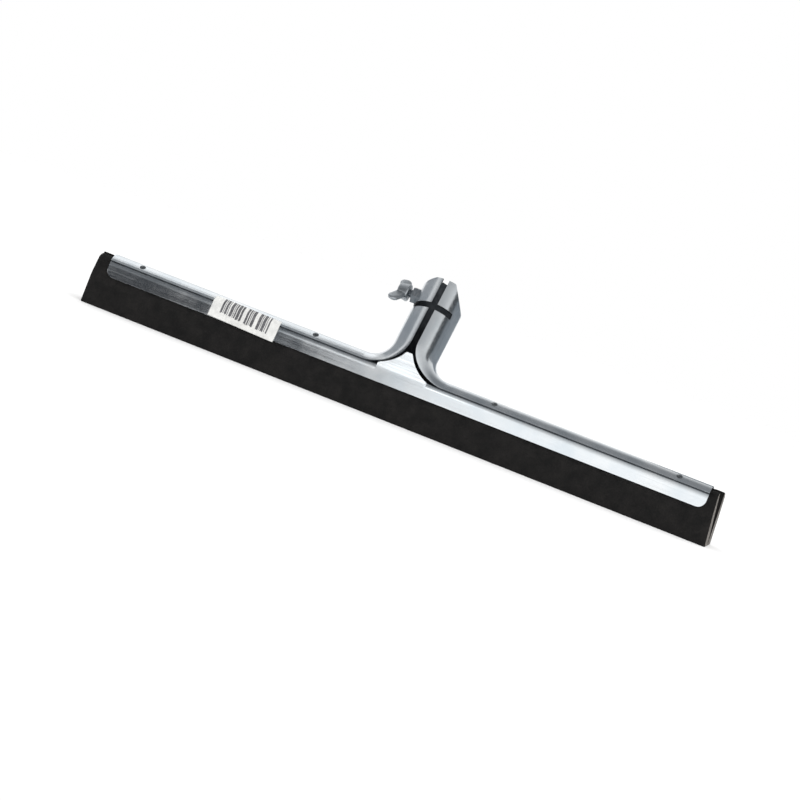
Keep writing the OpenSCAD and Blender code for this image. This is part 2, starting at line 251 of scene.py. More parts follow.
def rivet_steel():
    # Steel rivets, plated with the frame and dulled by the setting tool: darker, with a hammered grain.
    material, tree = new_material("dull_rivet_steel")
    place = add(tree, "ShaderNodeTexCoord").outputs["Object"]
    grain = add(tree, "ShaderNodeTexNoise", {"Vector": place, "Scale": per_mm(0.6), "Detail": 3.0})
    tint = add(tree, "ShaderNodeValToRGB", {"Fac": grain.outputs["Fac"]},
               ramp=((0.35, "#4d5053"), (0.7, "#83878a")))
    hammered = add(tree, "ShaderNodeBump", {
        "Height": grain.outputs["Fac"], "Strength": 0.4, "Distance": 0.05 * MM})
    rough = add(tree, "ShaderNodeMapRange", {"Value": grain.outputs["Fac"], "To Min": 0.3, "To Max": 0.55})
    shader = add(tree, "ShaderNodeBsdfPrincipled", {
        "Base Color": tint.outputs[0], "Metallic": 1.0, "Roughness": rough.outputs[0],
        "Normal": hammered.outputs[0]})
    add(tree, "ShaderNodeOutputMaterial", {"Surface": shader.outputs[0]})
    return material


def cellular_rubber():
    # Black cellular rubber with its moulded skin: dull, open with fine cells, and greyed by a little dust.
    # The cells are drawn at 0.9 mm, about twice their real size, so that they show.
    material, tree = new_material("black_cellular_rubber")
    place = add(tree, "ShaderNodeTexCoord").outputs["Object"]
    cells = add(tree, "ShaderNodeTexVoronoi", {"Vector": place, "Scale": per_mm(0.9), "Randomness": 1.0})
    fine = add(tree, "ShaderNodeTexNoise", {
        "Vector": place, "Scale": per_mm(0.5), "Detail": 4.0, "Roughness": 0.7})
    dust = add(tree, "ShaderNodeTexNoise", {
        "Vector": place, "Scale": per_mm(9), "Detail": 5.0, "Roughness": 0.65})
    speck = add(tree, "ShaderNodeMath", {
        0: dust.outputs["Fac"], 1: fine.outputs["Fac"]}, operation="MULTIPLY")
    tint = add(tree, "ShaderNodeValToRGB", {"Fac": speck.outputs[0]},
               ramp=((0.16, "#040404"), (0.4, "#211f1e")))
    pits = add(tree, "ShaderNodeBump", {
        "Height": cells.outputs["Distance"], "Strength": 0.45, "Distance": 0.18 * MM})
    grain = add(tree, "ShaderNodeBump", {
        "Height": fine.outputs["Fac"], "Normal": pits.outputs[0], "Strength": 0.4, "Distance": 0.1 * MM})
    rough = add(tree, "ShaderNodeMapRange", {"Value": dust.outputs["Fac"], "To Min": 0.72, "To Max": 0.95})
    shader = add(tree, "ShaderNodeBsdfPrincipled", {
        "Base Color": tint.outputs[0], "Roughness": rough.outputs[0], "Specular IOR Level": 0.3,
        "Normal": grain.outputs[0]})
    add(tree, "ShaderNodeOutputMaterial", {"Surface": shader.outputs[0]})
    return material


def cut_rubber():
    # The sawn ends of the same rubber: open cells, coarser than the skin, and a lighter grey that is partly
    # the cut cells' own tone and partly painted light where the end faces catch the light.
    material, tree = new_material("cut_rubber_grey_and_painted_light")
    place = add(tree, "ShaderNodeTexCoord").outputs["Object"]
    cells = add(tree, "ShaderNodeTexVoronoi", {"Vector": place, "Scale": per_mm(1.1), "Randomness": 1.0})
    tint = add(tree, "ShaderNodeValToRGB", {"Fac": cells.outputs["Distance"]},
               ramp=((0.1, "#4a4744"), (0.75, "#8f8a85")))
    pits = add(tree, "ShaderNodeBump", {
        "Height": cells.outputs["Distance"], "Strength": 0.8, "Distance": 0.3 * MM})
    shader = add(tree, "ShaderNodeBsdfPrincipled", {
        "Base Color": tint.outputs[0], "Roughness": 0.92, "Specular IOR Level": 0.3,
        "Normal": pits.outputs[0]})
    add(tree, "ShaderNodeOutputMaterial", {"Surface": shader.outputs[0]})
    return material


def screw_steel():
    # Zinc-plated turned steel: grey, with fine turning marks and darker plating where it was handled.
    material, tree = new_material("plated_screw_steel")
    place = add(tree, "ShaderNodeTexCoord").outputs["Object"]
    around = add(tree, "ShaderNodeMapping", {
        "Vector": place, "Scale": (per_mm(0.35), per_mm(4), per_mm(4))})
    marks = add(tree, "ShaderNodeTexNoise", {"Vector": around.outputs[0], "Scale": 1.0, "Detail": 3.0})
    tint = add(tree, "ShaderNodeValToRGB", {"Fac": marks.outputs["Fac"]},
               ramp=((0.3, "#6e747a"), (0.75, "#a9aeb3")))
    turned = add(tree, "ShaderNodeBump", {
        "Height": marks.outputs["Fac"], "Strength": 0.3, "Distance": 0.03 * MM})
    rough = add(tree, "ShaderNodeMapRange", {"Value": marks.outputs["Fac"], "To Min": 0.24, "To Max": 0.46})
    shader = add(tree, "ShaderNodeBsdfPrincipled", {
        "Base Color": tint.outputs[0], "Metallic": 1.0, "Roughness": rough.outputs[0],
        "Normal": turned.outputs[0]})
    add(tree, "ShaderNodeOutputMaterial", {"Surface": shader.outputs[0]})
    return material


def cast_zinc():
    # Tumbled die-cast zinc: a grey, pebbled skin, duller and darker in its hollows than on its worn rounds.
    material, tree = new_material("tumbled_cast_zinc")
    place = add(tree, "ShaderNodeTexCoord").outputs["Object"]
    pebble = add(tree, "ShaderNodeTexNoise", {
        "Vector": place, "Scale": per_mm(1.4), "Detail": 4.0, "Roughness": 0.55})
    worn = add(tree, "ShaderNodeNewGeometry").outputs["Pointiness"]
    tint = add(tree, "ShaderNodeValToRGB", {"Fac": worn}, ramp=((0.46, "#767b80"), (0.54, "#b3b8bc")))
    skin = add(tree, "ShaderNodeBump", {
        "Height": pebble.outputs["Fac"], "Strength": 0.5, "Distance": 0.12 * MM})
    rough = add(tree, "ShaderNodeMapRange", {"Value": pebble.outputs["Fac"], "To Min": 0.26, "To Max": 0.5})
    shader = add(tree, "ShaderNodeBsdfPrincipled", {
        "Base Color": tint.outputs[0], "Metallic": 1.0, "Roughness": rough.outputs[0],
        "Normal": skin.outputs[0]})
    add(tree, "ShaderNodeOutputMaterial", {"Surface": shader.outputs[0]})
    return material


def label_paper():
    # Coated label paper: off-white and half matt, with a faint mottle from the gum and the metal under it.
    material, tree = new_material("coated_label_paper")
    place = add(tree, "ShaderNodeTexCoord").outputs["Object"]
    mottle = add(tree, "ShaderNodeTexNoise", {
        "Vector": place, "Scale": per_mm(4), "Detail": 4.0, "Roughness": 0.6})
    fibre = add(tree, "ShaderNodeTexNoise", {"Vector": place, "Scale": per_mm(0.4), "Detail": 2.0})
    tint = add(tree, "ShaderNodeValToRGB", {"Fac": mottle.outputs["Fac"]},
               ramp=((0.3, "#cfcfcd"), (0.65, "#e9e9e6")))
    weave = add(tree, "ShaderNodeBump", {
        "Height": fibre.outputs["Fac"], "Strength": 0.15, "Distance": 0.02 * MM})
    shader = add(tree, "ShaderNodeBsdfPrincipled", {
        "Base Color": tint.outputs[0], "Roughness": 0.5, "Normal": weave.outputs[0]})
    add(tree, "ShaderNodeOutputMaterial", {"Surface": shader.outputs[0]})
    return material


def label_ink():
    # Thin black ink on that paper: a dark grey, broken where the print is worn.
    material, tree = new_material("worn_label_ink")
    place = add(tree, "ShaderNodeTexCoord").outputs["Object"]
    wear = add(tree, "ShaderNodeTexNoise", {
        "Vector": place, "Scale": per_mm(1.2), "Detail": 3.0, "Roughness": 0.7})
    tint = add(tree, "ShaderNodeValToRGB", {"Fac": wear.outputs["Fac"]},
               ramp=((0.4, "#4a4a4e"), (0.75, "#868688")))
    shader = add(tree, "ShaderNodeBsdfPrincipled", {"Base Color": tint.outputs[0], "Roughness": 0.55})
    add(tree, "ShaderNodeOutputMaterial", {"Surface": shader.outputs[0]})
    return material


def floor_paint():
    # Plain white studio floor: matt, with only a trace of mottle, so that it keeps the shadow.
    material, tree = new_material("white_studio_floor")
    place = add(tree, "ShaderNodeTexCoord").outputs["Object"]
    mottle = add(tree, "ShaderNodeTexNoise", {"Vector": place, "Scale": per_mm(400), "Detail": 2.0})
    tint = add(tree, "ShaderNodeValToRGB", {"Fac": mottle.outputs["Fac"]},
               ramp=((0, "#fafafa"), (1, "#ffffff")))
    shader = add(tree, "ShaderNodeBsdfPrincipled", {
        "Base Color": tint.outputs[0], "Roughness": 1.0, "Specular IOR Level": 0.0})
    add(tree, "ShaderNodeOutputMaterial", {"Surface": shader.outputs[0]})
    return material


def make_piece(name, bm, *materials):
    """Turns a bmesh drawn in millimetres into a smooth mesh object in metres."""
    bmesh.ops.scale(bm, vec=(MM, MM, MM), verts=bm.verts)
    for face in bm.faces:
        face.smooth = True
    mesh = bpy.data.meshes.new(name)
    bm.to_mesh(mesh)
    bm.free()
    for material in materials:
        mesh.materials.append(material)
    piece = bpy.data.objects.new(name, mesh)
    bpy.context.scene.collection.objects.link(piece)
    return piece


def modify(piece, kind, **settings):
    """Adds a modifier and sets it up."""
    modifier = piece.modifiers.new(kind.lower(), kind)
    for name, value in settings.items():
        setattr(modifier, name, value)


def apply_modifiers(piece):
    """Replaces a piece's mesh by what its modifiers make of it."""
    bpy.context.view_layer.update()
    made = bpy.data.meshes.new_from_object(piece.evaluated_get(bpy.context.evaluated_depsgraph_get()))
    piece.modifiers.clear()
    piece.data = made


def cut_round(piece, radius, start, end):
    """Bores a round hole through a piece, along the line between two points in millimetres."""
    bm = bmesh.new()
    run = Vector(end) - Vector(start)
    turn = run.to_track_quat("Z", "Y").to_matrix().to_4x4()
    place = Matrix.Translation((Vector(start) + Vector(end)) / 2) @ turn
    bmesh.ops.create_cone(bm, cap_ends=True, segments=48, radius1=radius, radius2=radius, depth=run.length,
                          matrix=place)
    cutter = make_piece("cutter", bm)
    modify(piece, "BOOLEAN", object=cutter, operation="DIFFERENCE", solver="EXACT")
    apply_modifiers(piece)
    bpy.data.objects.remove(cutter)


def break_edges(piece, width):
    """Rounds the sharp edges a little and keeps the broad faces true."""
    modify(piece, "BEVEL", width=width * MM, segments=2, limit_method="ANGLE", angle_limit=EDGE_ANGLE)
    modify(piece, "WEIGHTED_NORMAL", weight=60, keep_sharp=False)


def dress(piece, body, slot, *nodes):
    """Lets a piece ride on a body in place of its CAD nodes."""
    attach(piece, body)
    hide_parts(*nodes)


def grow_grid(bm, columns, keep=lambda column, row: True):
    """Faces between neighbouring columns of points. A shorter column ends its strip early."""
    made = [[bm.verts.new(point) for point in column] for column in columns]
    for i in range(len(made) - 1):
        for j in range(min(len(made[i]), len(made[i + 1])) - 1):
            if keep(i, j):
                bm.faces.new((made[i][j], made[i][j + 1], made[i + 1][j + 1], made[i + 1][j]))


def turn_outwards(bm, seen_from):
    """Makes the faces of an open sheet agree, with the side that is seen from a direction outside."""
    bmesh.ops.recalc_face_normals(bm, faces=bm.faces)
    way = Vector(seen_from)
    outer = max(bm.faces, key=lambda face: face.calc_center_median().dot(way))
    if outer.normal.dot(way) < 0:
        bmesh.ops.reverse_faces(bm, faces=bm.faces)


def roll_at(r, angle, x):
    """A point on the rolled top, by radius and angle up from the front."""
    return Vector((x, -r * math.cos(angle), ROLL_Z + r * math.sin(angle)))


def ring_at(angle, s):
    """A point on the outside of the socket, by angle from its front to the left and way up its axis."""
    side = Vector((SOCKET_R * math.sin(angle), 0, 0))
    return NECK_FOOT + AXIS * s + NECK_FRONT * (SOCKET_R * math.cos(angle)) - side


def roll_angle(q):
    """The angle round the rolled top, for q from the lip to the back."""
    return LIP_ANGLE + q * (math.pi - LIP_ANGLE)


def seam_angle(q):
    """The angle round the socket, for q from the slit to the middle of the back."""
    return SEAM_ANGLE + q * (math.pi - SEAM_ANGLE)


def leg_at(q, t):
    """A point of the left leg: q from the lip to the middle of the back, t from the roll to the socket."""
    start = roll_at(ROLL_R, roll_angle(q), -FLARE_X)
    end = ring_at(seam_angle(q), SOCKET_START)
    fade = min(1, q / PULL_FADE)
    pull = LIP_PULL + (SIDE_PULL - LIP_PULL) * fade * fade * (3 - 2 * fade)
    out = start + Vector((pull * (end.x - start.x), 0, 0))
    back = end - AXIS * (pull * (end.z - start.z) / math.cos(LEAN))
    u = 1 - t
    return u ** 3 * start + 3 * t * u * u * out + 3 * t * t * u * back + t ** 3 * end


def skirt_low(x):
    """The height of the plates' lower edge, which rises round the corners at the frame's ends."""
    inward = min(CORNER_R, FRAME_HALF - abs(x))
    return SKIRT_Z + CORNER_R - math.sqrt(CORNER_R ** 2 - (CORNER_R - inward) ** 2)


def end_places(inner):
    """Places along X from the left end to inner: close together round the corner, then at long steps."""
    corner = [FRAME_HALF - CORNER_R * (1 - math.cos(math.radians(a))) for a in range(0, 91, 15)]
    count = math.ceil((corner[-1] - inner) / LONG_STEP)
    run = [corner[-1] + (inner - corner[-1]) * i / count for i in range(1, count + 1)]
    return [-x for x in corner + run]


def jaw_top(angle, side):
    """How far up the axis the socket reaches: straight edges run down to the sides from jaws and back."""
    side_s, back_tip = (LEFT_S, BACK_TIP_LEFT) if side < 0 else (RIGHT_S, BACK_TIP_RIGHT)
    top, tip = (JAW_S, JAW_TIP) if math.cos(angle) > 0 else (BACK_S, back_tip)
    return top - (top - side_s) * max(0, SOCKET_R * math.sin(angle) - tip) / (SOCKET_R - tip)


def pressed_half(bm, side):
    """One half of the pressing as a single sheet: rolled top, back plate, flared leg, web and socket."""
    rows, legs, web, skirt, neck, collar = 64, 36, 8, 4, 10, 9
    qs = [j / rows for j in range(rows + 1)]
    columns = []
    for x in end_places(FLARE_X):
        share = max(0, ROLL_Z - skirt_low(x)) / (ROLL_Z - SKIRT_Z)
        drops = [(ROLL_Z - FOLD_Z) * k / web for k in range(1, web + 1)]
        drops += [ROLL_Z - FOLD_Z + (FOLD_Z - SKIRT_Z) * k / skirt for k in range(1, skirt + 1)]
        columns.append([roll_at(ROLL_R, roll_angle(q), x) for q in qs]
                       + [Vector((x, ROLL_R, ROLL_Z - share * drop)) for drop in drops])
    for i in range(1, legs + 1):
        top = leg_at(1, i / legs)
        foot = Vector((top.x, ROLL_R, FOLD_Z))
        edge = Vector((top.x, ROLL_R, SKIRT_Z))
        columns.append([leg_at(q, i / legs) for q in qs]
                       + [top.lerp(foot, k / web) for k in range(1, web + 1)]
                       + [foot.lerp(edge, k / skirt) for k in range(1, skirt + 1)])
    for k in range(1, neck + 1):
        s = SOCKET_START + (NOTCH_FROM - SOCKET_START) * k / neck
        columns.append([ring_at(seam_angle(q), s) for q in qs])
    notch = len(columns) - 1
    for k in range(collar + 1):
        tops = [NOTCH_TO + (jaw_top(seam_angle(q), side) - NOTCH_TO) * k / collar for q in qs]
        columns.append([ring_at(seam_angle(q), s) for q, s in zip(qs, tops)])
    sweep = NOTCH_LEFT if side < 0 else NOTCH_RIGHT
    mirror = Vector((-side, 1, 1))
    grow_grid(bm, [[point * mirror for point in column] for column in columns],
              lambda i, j: i != notch or seam_angle(qs[j + 1]) > sweep)


def pressed_frame(zinc, dull):
    """The pressing: its two halves as one sheet, given a thickness and bored for the screw."""
    bm = bmesh.new()
    for side in (-1, 1):
        pressed_half(bm, side)
    bmesh.ops.remove_doubles(bm, verts=bm.verts, dist=WELD)
    turn_outwards(bm, (0, 1, 0))
    piece = make_piece("pressed_frame", bm, zinc, dull)
    # The inner side and the rims take the dark inner zinc: painted shade inside the socket and along the
    # cut edges.
    modify(piece, "SOLIDIFY", thickness=SHEET_T * MM, offset=-1, use_even_offset=True, material_offset=1,
           material_offset_rim=1)
    hole = NECK_FOOT + AXIS * SCREW_S
    cut_round(piece, HOLE_R, hole - Vector((HOLE_FROM, 0, 0)), hole - Vector((HOLE_TO, 0, 0)))
    break_edges(piece, SHEET_EDGE)
    dress(piece, "head", "zinc_sheet", "frame_pressing")


def tongue_top(x):
    """The height of the tongue at a place along X: it keeps its gap from the front edges of the legs."""
    gap = TONGUE_GAP if x <= 0 else TONGUE_RIGHT_GAP
    low, high, halvings = 0.0, 1.0, 40
    for _ in range(halvings):
        middle = (low + high) / 2
        if leg_at(0, middle).x + gap < -abs(x):
            low = middle
        else:
            high = middle
    return min(TONGUE_TOP_Z, leg_at(0, low).z - gap)


def front_plate(zinc):
    """The front strip: rolled under the lip on both sides, with the tongue between the legs."""
    flat, rolled, tongue, fingers = 6, 12, 10, 30
    left = end_places(TONGUE_HALF)
    middle = [TONGUE_HALF * (2 * i / fingers - 1) for i in range(fingers + 1)]
    right = [-x for x in reversed(left)]

    def flat_column(x):
        low = (skirt_low(x) - SKIRT_Z) / PLATE_UP.z
        edge = Vector((x, -ROLL_R, SKIRT_Z))
        return [edge + PLATE_UP * (low + (PLATE_FLAT - low) * k / flat) for k in range(flat + 1)]

    def rolled_column(x):
        angles = [PLATE_LEAN + (PLATE_ROLL_END - PLATE_LEAN) * k / rolled for k in range(rolled + 1)]
        return [roll_at(PLATE_R, angle, x) for angle in angles]

    def tongue_column(x):
        foot = Vector((x, -ROLL_R, SKIRT_Z)) + PLATE_UP * PLATE_FLAT
        rise = (tongue_top(x) - foot.z) / PLATE_UP.z
        return [folded(foot, rise * k / tongue) for k in range(tongue + 1)]

    def folded(foot, h):
        soft = min(h, FOLD_SOFT)
        back = math.tan(TONGUE_FOLD) * (h - soft + soft * soft / (2 * FOLD_SOFT))
        return foot + PLATE_UP * h - PLATE_OUT * back

    bm = bmesh.new()
    grow_grid(bm, [flat_column(x) for x in left + middle[1:-1] + right])
    grow_grid(bm, [rolled_column(x) for x in left])
    grow_grid(bm, [rolled_column(x) for x in right])
    grow_grid(bm, [tongue_column(x) for x in middle])
    bmesh.ops.remove_doubles(bm, verts=bm.verts, dist=WELD)
    turn_outwards(bm, (0, -1, 0))
    piece = make_piece("formed_front_plate", bm, zinc)
    modify(piece, "SOLIDIFY", thickness=PLATE_T * MM, offset=-1, use_even_offset=True)
    break_edges(piece, PLATE_EDGE)
    dress(piece, "head", "zinc_sheet", "front_plate")


def round_outline(corners, steps=6):
    """A closed outline in Y and Z with its corners rounded. Each corner is (y, z, radius)."""
    outline = []
    for i, (y, z, radius) in enumerate(corners):
        here = Vector((y, z))
        before = (Vector(corners[i - 1][:2]) - here).normalized()
        after = (Vector(corners[(i + 1) % len(corners)][:2]) - here).normalized()
        half = before.angle(after) / 2
        middle = here + (before + after).normalized() * (radius / math.sin(half))
        arm = radius / math.tan(half)
        first = here + before * arm - middle
        last = here + after * arm - middle
        sweep = first.angle_signed(last)
        for k in range(steps + 1):
            angle = -sweep * k / steps
            outline.append(middle + Matrix.Rotation(angle, 2) @ first)
    return outline


def blade_outline(side, foam_r, mouth, top_angle):
    """Section through one blade, on side -1 for the front: foot, swell, pinched mouth and round top."""
    toe, heel, swell, pinch, fine, crown, steps = 0.5, 1.0, 1.6, 0.6, 0.05, 0.06, 10
    lower = [(FOOT_GAP / 2, 0, toe), (FOOT_GAP / 2 + FOOT_T, 0, heel), (SWELL_Y, SWELL_Z, swell),
             (mouth, SKIRT_Z, pinch)]
    sweep = math.pi / 2 - crown - top_angle
    angles = [top_angle + sweep * k / steps for k in range(steps + 1)]
    shoulder = [(foam_r * math.cos(a), ROLL_Z + foam_r * math.sin(a)) for a in angles]
    corners = lower + [(y, z, fine) for y, z in shoulder] + [(SPLIT / 2, shoulder[-1][1], fine)]
    return [Vector((side * point.x, point.y)) for point in round_outline(corners)]


def blade_places():
    """Places along X: close together at the sawn ends and where the rubber leaves the frame."""
    ends = [BLADE_HALF - d for d in (0, 0.25, 0.6, 1.2, 2.2, 3.4, 4.8, 6.2, 7.6, 8.8, 9.5)]
    count = 70
    run = [ends[-1] * (1 - 2 * i / count) for i in range(1, count)]
    return ends + run + [-x for x in reversed(ends)]


def rubber_blade(name, node, side, foam_r, mouth, top_angle, saw, skin, sawn):
    """A blade as a long soft section that wanders a little and swells where the frame lets it go."""
    bulge_mouth, bulge_r, held, settle = 1.1, 0.25, 0.3, 3.0
    wander, wave, apart, level, fade_top, fade_foot, core = 0.22, 38, 7.3, 0.5, 6, 3, 4
    worn, worn_run, worn_foot, inner = 0.35, 0.6, 0.3, 1
    middle = side * (FOOT_GAP / 2 + FOOT_T / 2)
    bm = bmesh.new()
    columns = []
    for x in blade_places():
        free = min(1, max(0, (abs(x) - FRAME_HALF - held) / settle))
        free = free * free * (3 - 2 * free)
        section = blade_outline(side, foam_r + bulge_r * free, mouth + bulge_mouth * free, top_angle)
        sway = wander * noise.noise(Vector((x / wave, side * apart, level)))
        end = max(0, 1 - (BLADE_HALF - abs(x)) / worn_run)
        inset = worn * end * end
        column = []
        for point in section:
            low = min(1, max(0, (SKIRT_Z - point.y) / fade_top)) * min(1, point.y / fade_foot)
            y = point.x + side * sway * low * (abs(point.x) > core)
            y += inset * (-1 if y > middle else 1) * (abs(y) > inner)
            z = point.y - inset * (point.y > ROLL_Z) + inset * (point.y < worn_foot)
            slant = saw * max(0, x - FRAME_HALF) / (BLADE_HALF - FRAME_HALF) * z / (ROLL_Z + foam_r)
            column.append(Vector((x - slant, y, z)))
        columns.append(column + [column[0]])
    grow_grid(bm, columns)
    bmesh.ops.remove_doubles(bm, verts=bm.verts, dist=WELD)
    rims = [edge for edge in bm.edges if edge.is_boundary]
    caps = bmesh.ops.holes_fill(bm, edges=rims, sides=0)["faces"]
    bmesh.ops.recalc_face_normals(bm, faces=bm.faces)
    # The sawn ends take the lighter cut-rubber material, which is partly painted light.
    for cap in caps:
        cap.material_index = 1
    bmesh.ops.triangulate(bm, faces=caps)
    piece = make_piece(name, bm, skin, sawn)
    piece.data.set_sharp_from_angle(angle=math.radians(50))
    dress(piece, "head", "cellular_rubber", node)


def rubber_blades(skin, sawn):
    """The front blade is pinched by the plate and the rear one by the back of the frame."""
    rubber_blade("front_rubber_blade", "front_blade", -1, FRONT_FOAM_R, FRONT_MOUTH, PLATE_LEAN, FRONT_SAW,
                 skin, sawn)
    rubber_blade("rear_rubber_blade", "rear_blade", 1, REAR_FOAM_R, REAR_FOAM_R, REAR_TOP, REAR_SAW,
                 skin, sawn)


def screw_at(r, angle, out):
    """A point round the clamp screw, by radius, turn and distance out of the socket's middle."""
    foot = NECK_FOOT + AXIS * SCREW_S
    return foot + Vector((-out, 0, 0)) + (AXIS * math.sin(angle) + NECK_FRONT * math.cos(angle)) * r


def threaded_stud(steel):
    """The stud with its helical thread and a chamfered tip."""
    turns, slices = 48, 10
    tip_run, tail_run, chamfer, steep, crest = 0.8, 0.5, 1.3, 1.35, 0.15
    length = SCREW_TAIL - SCREW_TIP
    count = int(length / THREAD_PITCH * slices)
    columns = []
    for i in range(count + 1):
        out = SCREW_TIP + length * i / count
        lead = min(1, (out - SCREW_TIP) / tip_run, (SCREW_TAIL - out) / tail_run)
        column = []
        for k in range(turns):
            angle = 2 * math.pi * k / turns
            phase = (out / THREAD_PITCH + k / turns) % 1
            groove = min(1, max(0, abs(2 * phase - 1) * steep - crest))
            cut = max(groove, chamfer - chamfer * lead)
            column.append(screw_at(THREAD_R - THREAD_DEPTH * cut, angle, out))
        columns.append(column + [column[0]])
    bm = bmesh.new()
    grow_grid(bm, columns)
    bmesh.ops.remove_doubles(bm, verts=bm.verts, dist=WELD)
    bmesh.ops.holes_fill(bm, edges=[edge for edge in bm.edges if edge.is_boundary], sides=0)
    bmesh.ops.recalc_face_normals(bm, faces=bm.faces)
    piece = make_piece("threaded_stud", bm, steel)
    piece.data.set_sharp_from_angle(angle=math.radians(45))
    dress(piece, "stud", "screw_steel", "screw_shank")


def wing_ring(along, root, tip, side):
    """A closed ring round one wing, at a distance along its spine. It thins to the tip and is dished."""
    count, least, taper, blunt, broad, full, dished = 32, 0.01, 0.18, 0.25, 0.7, 0.55, 0.22
    run = tip - root
    spine = run.normalized()
    across = Vector((-spine.y, spine.x))
    beyond = max(0, -along, along - run.length)
    height = math.sqrt(max(least, WING_TIP_R ** 2 - beyond ** 2))
    share = min(1, max(0, along / run.length))
    half = (WING_T / 2) * (1 - taper * share) * min(1, height / WING_TIP_R + blunt)
    ring = []
    for k in range(count):
        a = 2 * math.pi * k / count
        flat = math.copysign(abs(math.cos(a)) ** broad, math.cos(a))
        thick = math.copysign(abs(math.sin(a)) ** full, math.sin(a))
        dish = 1 - dished * (1 - flat * flat) * math.sin(math.pi * share)
        place = root + spine * along + across * (height * flat)
        ring.append((side * place.x, place.y, half * thick * dish))
    return ring


def wing_point(x, up, thick):
    """Places a point of the wing head, drawn with X along the span and up the hub, on the clamp screw."""
    turn = math.pi - WING_ANGLE
    angle = turn + math.atan2(thick, x)
    return screw_at(math.hypot(x, thick), angle, HUB_FOOT + up)


def cast_wing_head(zinc):
    """The wing head: hub and wings run together into one casting with soft fillets, bored for the stud."""
    edge, ease, core, crown, around, along_wing = 0.9, 0.25, 0.05, 0.8 * HUB_R, 48, 30
    voxel, play, below = 0.28, 0.06, 1
    bm = bmesh.new()
    profile = [(core, 0), (HUB_R - edge, 0), (HUB_R - ease, ease), (HUB_R, edge), (crown, HUB_H - edge),
               (crown - ease, HUB_H - ease), (crown - edge, HUB_H), (core, HUB_H)]
    angles = [2 * math.pi * k / around for k in range(around + 1)]
    grow_grid(bm, [[wing_point(r * math.cos(a), up, r * math.sin(a)) for r, up in profile] for a in angles])
    root = Vector((HUB_R / 2, WING_TIP_R))
    tip = Vector((WING_SPAN / 2 - WING_TIP_R, WING_H - WING_TIP_R))
    reach = (tip - root).length
    whole = reach + 2 * WING_TIP_R
    stations = [-WING_TIP_R + whole * i / along_wing for i in range(along_wing + 1)]
    for side in (-1, 1):
        rings = [[wing_point(*point) for point in wing_ring(along, root, tip, side)] for along in stations]
        grow_grid(bm, [ring + [ring[0]] for ring in rings])
    bmesh.ops.remove_doubles(bm, verts=bm.verts, dist=WELD)
    bmesh.ops.holes_fill(bm, edges=[e for e in bm.edges if e.is_boundary], sides=0)
    bmesh.ops.recalc_face_normals(bm, faces=bm.faces)
    piece = make_piece("cast_wing_head", bm, zinc)
    modify(piece, "REMESH", mode="VOXEL", voxel_size=voxel * MM, use_smooth_shade=True)
    modify(piece, "SMOOTH", factor=0.5, iterations=6)
    mouth, bottom = screw_at(0, 0, HUB_FOOT - below), screw_at(0, 0, HUB_FOOT + HUB_BORE)
    cut_round(piece, THREAD_R + play, mouth, bottom)
    piece.data.set_sharp_from_angle(angle=math.radians(60))
    dress(piece, "wing", "cast_zinc", "wing_head")


def label_face(p):
    """A point in Y and Z on what carries the label, by distance up from the plate's lower edge."""
    edge = Vector((0, -ROLL_R, SKIRT_Z))
    fold = edge + PLATE_UP * PLATE_FLAT
    lip = roll_at(ROLL_R, LIP_ANGLE, 0)
    step = (lip - fold).length
    if p < PLATE_FLAT:
        return edge + PLATE_UP * p
    if p < PLATE_FLAT + step:
        return fold.lerp(lip, (p - PLATE_FLAT) / step)
    return roll_at(ROLL_R, LIP_ANGLE + (p - PLATE_FLAT - step) / ROLL_R, 0)


def bar_cells(columns):
    """Which columns of the label are printed, as (from row, to row): groups of plain upright bars."""
    chance = random.Random(7)
    printed = {}
    # Each group runs from a first to an end column and from a first to an end row
    groups = ((14, 29, 9, 31), (32, 46, 8, 31), (50, 64, 7, 31), (68, 84, 7, 31))
    for start, end, low, high in groups:
        column = start
        while column < min(end, columns):
            width = chance.choice((1, 2, 3, 4))
            for k in range(width):
                printed[column + k] = (low + chance.choice((0, 0, 1)), high)
            column += width + chance.choice((1, 1, 1, 2))
    return printed


def paper_label(paper, ink):
    """The label: stuck on a little askew, bridging the step at the lip, with one lower corner lifting."""
    height, cell, low_edge, soften, lift = 15.5, 0.5, -0.35, 0.8, 0.1
    curl, curl_slope, curl_start, curl_top = 36, 1.2, 0.9, 0.45
    across = round(LABEL_W / cell)
    up = round(height / cell)
    columns = []
    for i in range(across + 1):
        a = LABEL_W * (i / across - 0.5)
        column = []
        for j in range(up + 1):
            b = height * (j / up - 0.5)
            x = a * math.cos(LABEL_TURN) - b * math.sin(LABEL_TURN)
            p = low_edge + height / 2 + a * math.sin(LABEL_TURN) + b * math.cos(LABEL_TURN)
            soft = (label_face(p - soften) + label_face(p) * 2 + label_face(p + soften)) / 4
            ahead = (label_face(p + soften) - label_face(p - soften)).normalized()
            out = Vector((0, -ahead.z, ahead.y))
            corner = max(0, (a / LABEL_W + 0.5) * curl_slope - curl_start) * max(0, curl_top - j / up)
            point = soft + out * (lift + curl * corner * corner)
            column.append(Vector((LABEL_X + x, point.y, point.z)))
        columns.append(column)
    bm = bmesh.new()
    grow_grid(bm, columns)
    printed = bar_cells(across)
    for number, face in enumerate(bm.faces):
        low, high = printed.get(number // up, (0, 0))
        face.material_index = 1 if low <= number % up < high else 0
    turn_outwards(bm, (0, -1, 0))
    piece = make_piece("paper_price_label", bm, paper, ink)
    modify(piece, "SOLIDIFY", thickness=LABEL_T * MM, offset=1)
    dress(piece, "head", "label_paper", "paper_label")


def finish_cad(node, material, width):
    """Gives a CAD node its finish and breaks its sharp edges."""
    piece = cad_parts[node]
    piece.data.materials.clear()
    piece.data.materials.append(material)
    modify(piece, "BEVEL", width=width * MM, segments=2, limit_method="ANGLE", angle_limit=CAD_EDGE_ANGLE)


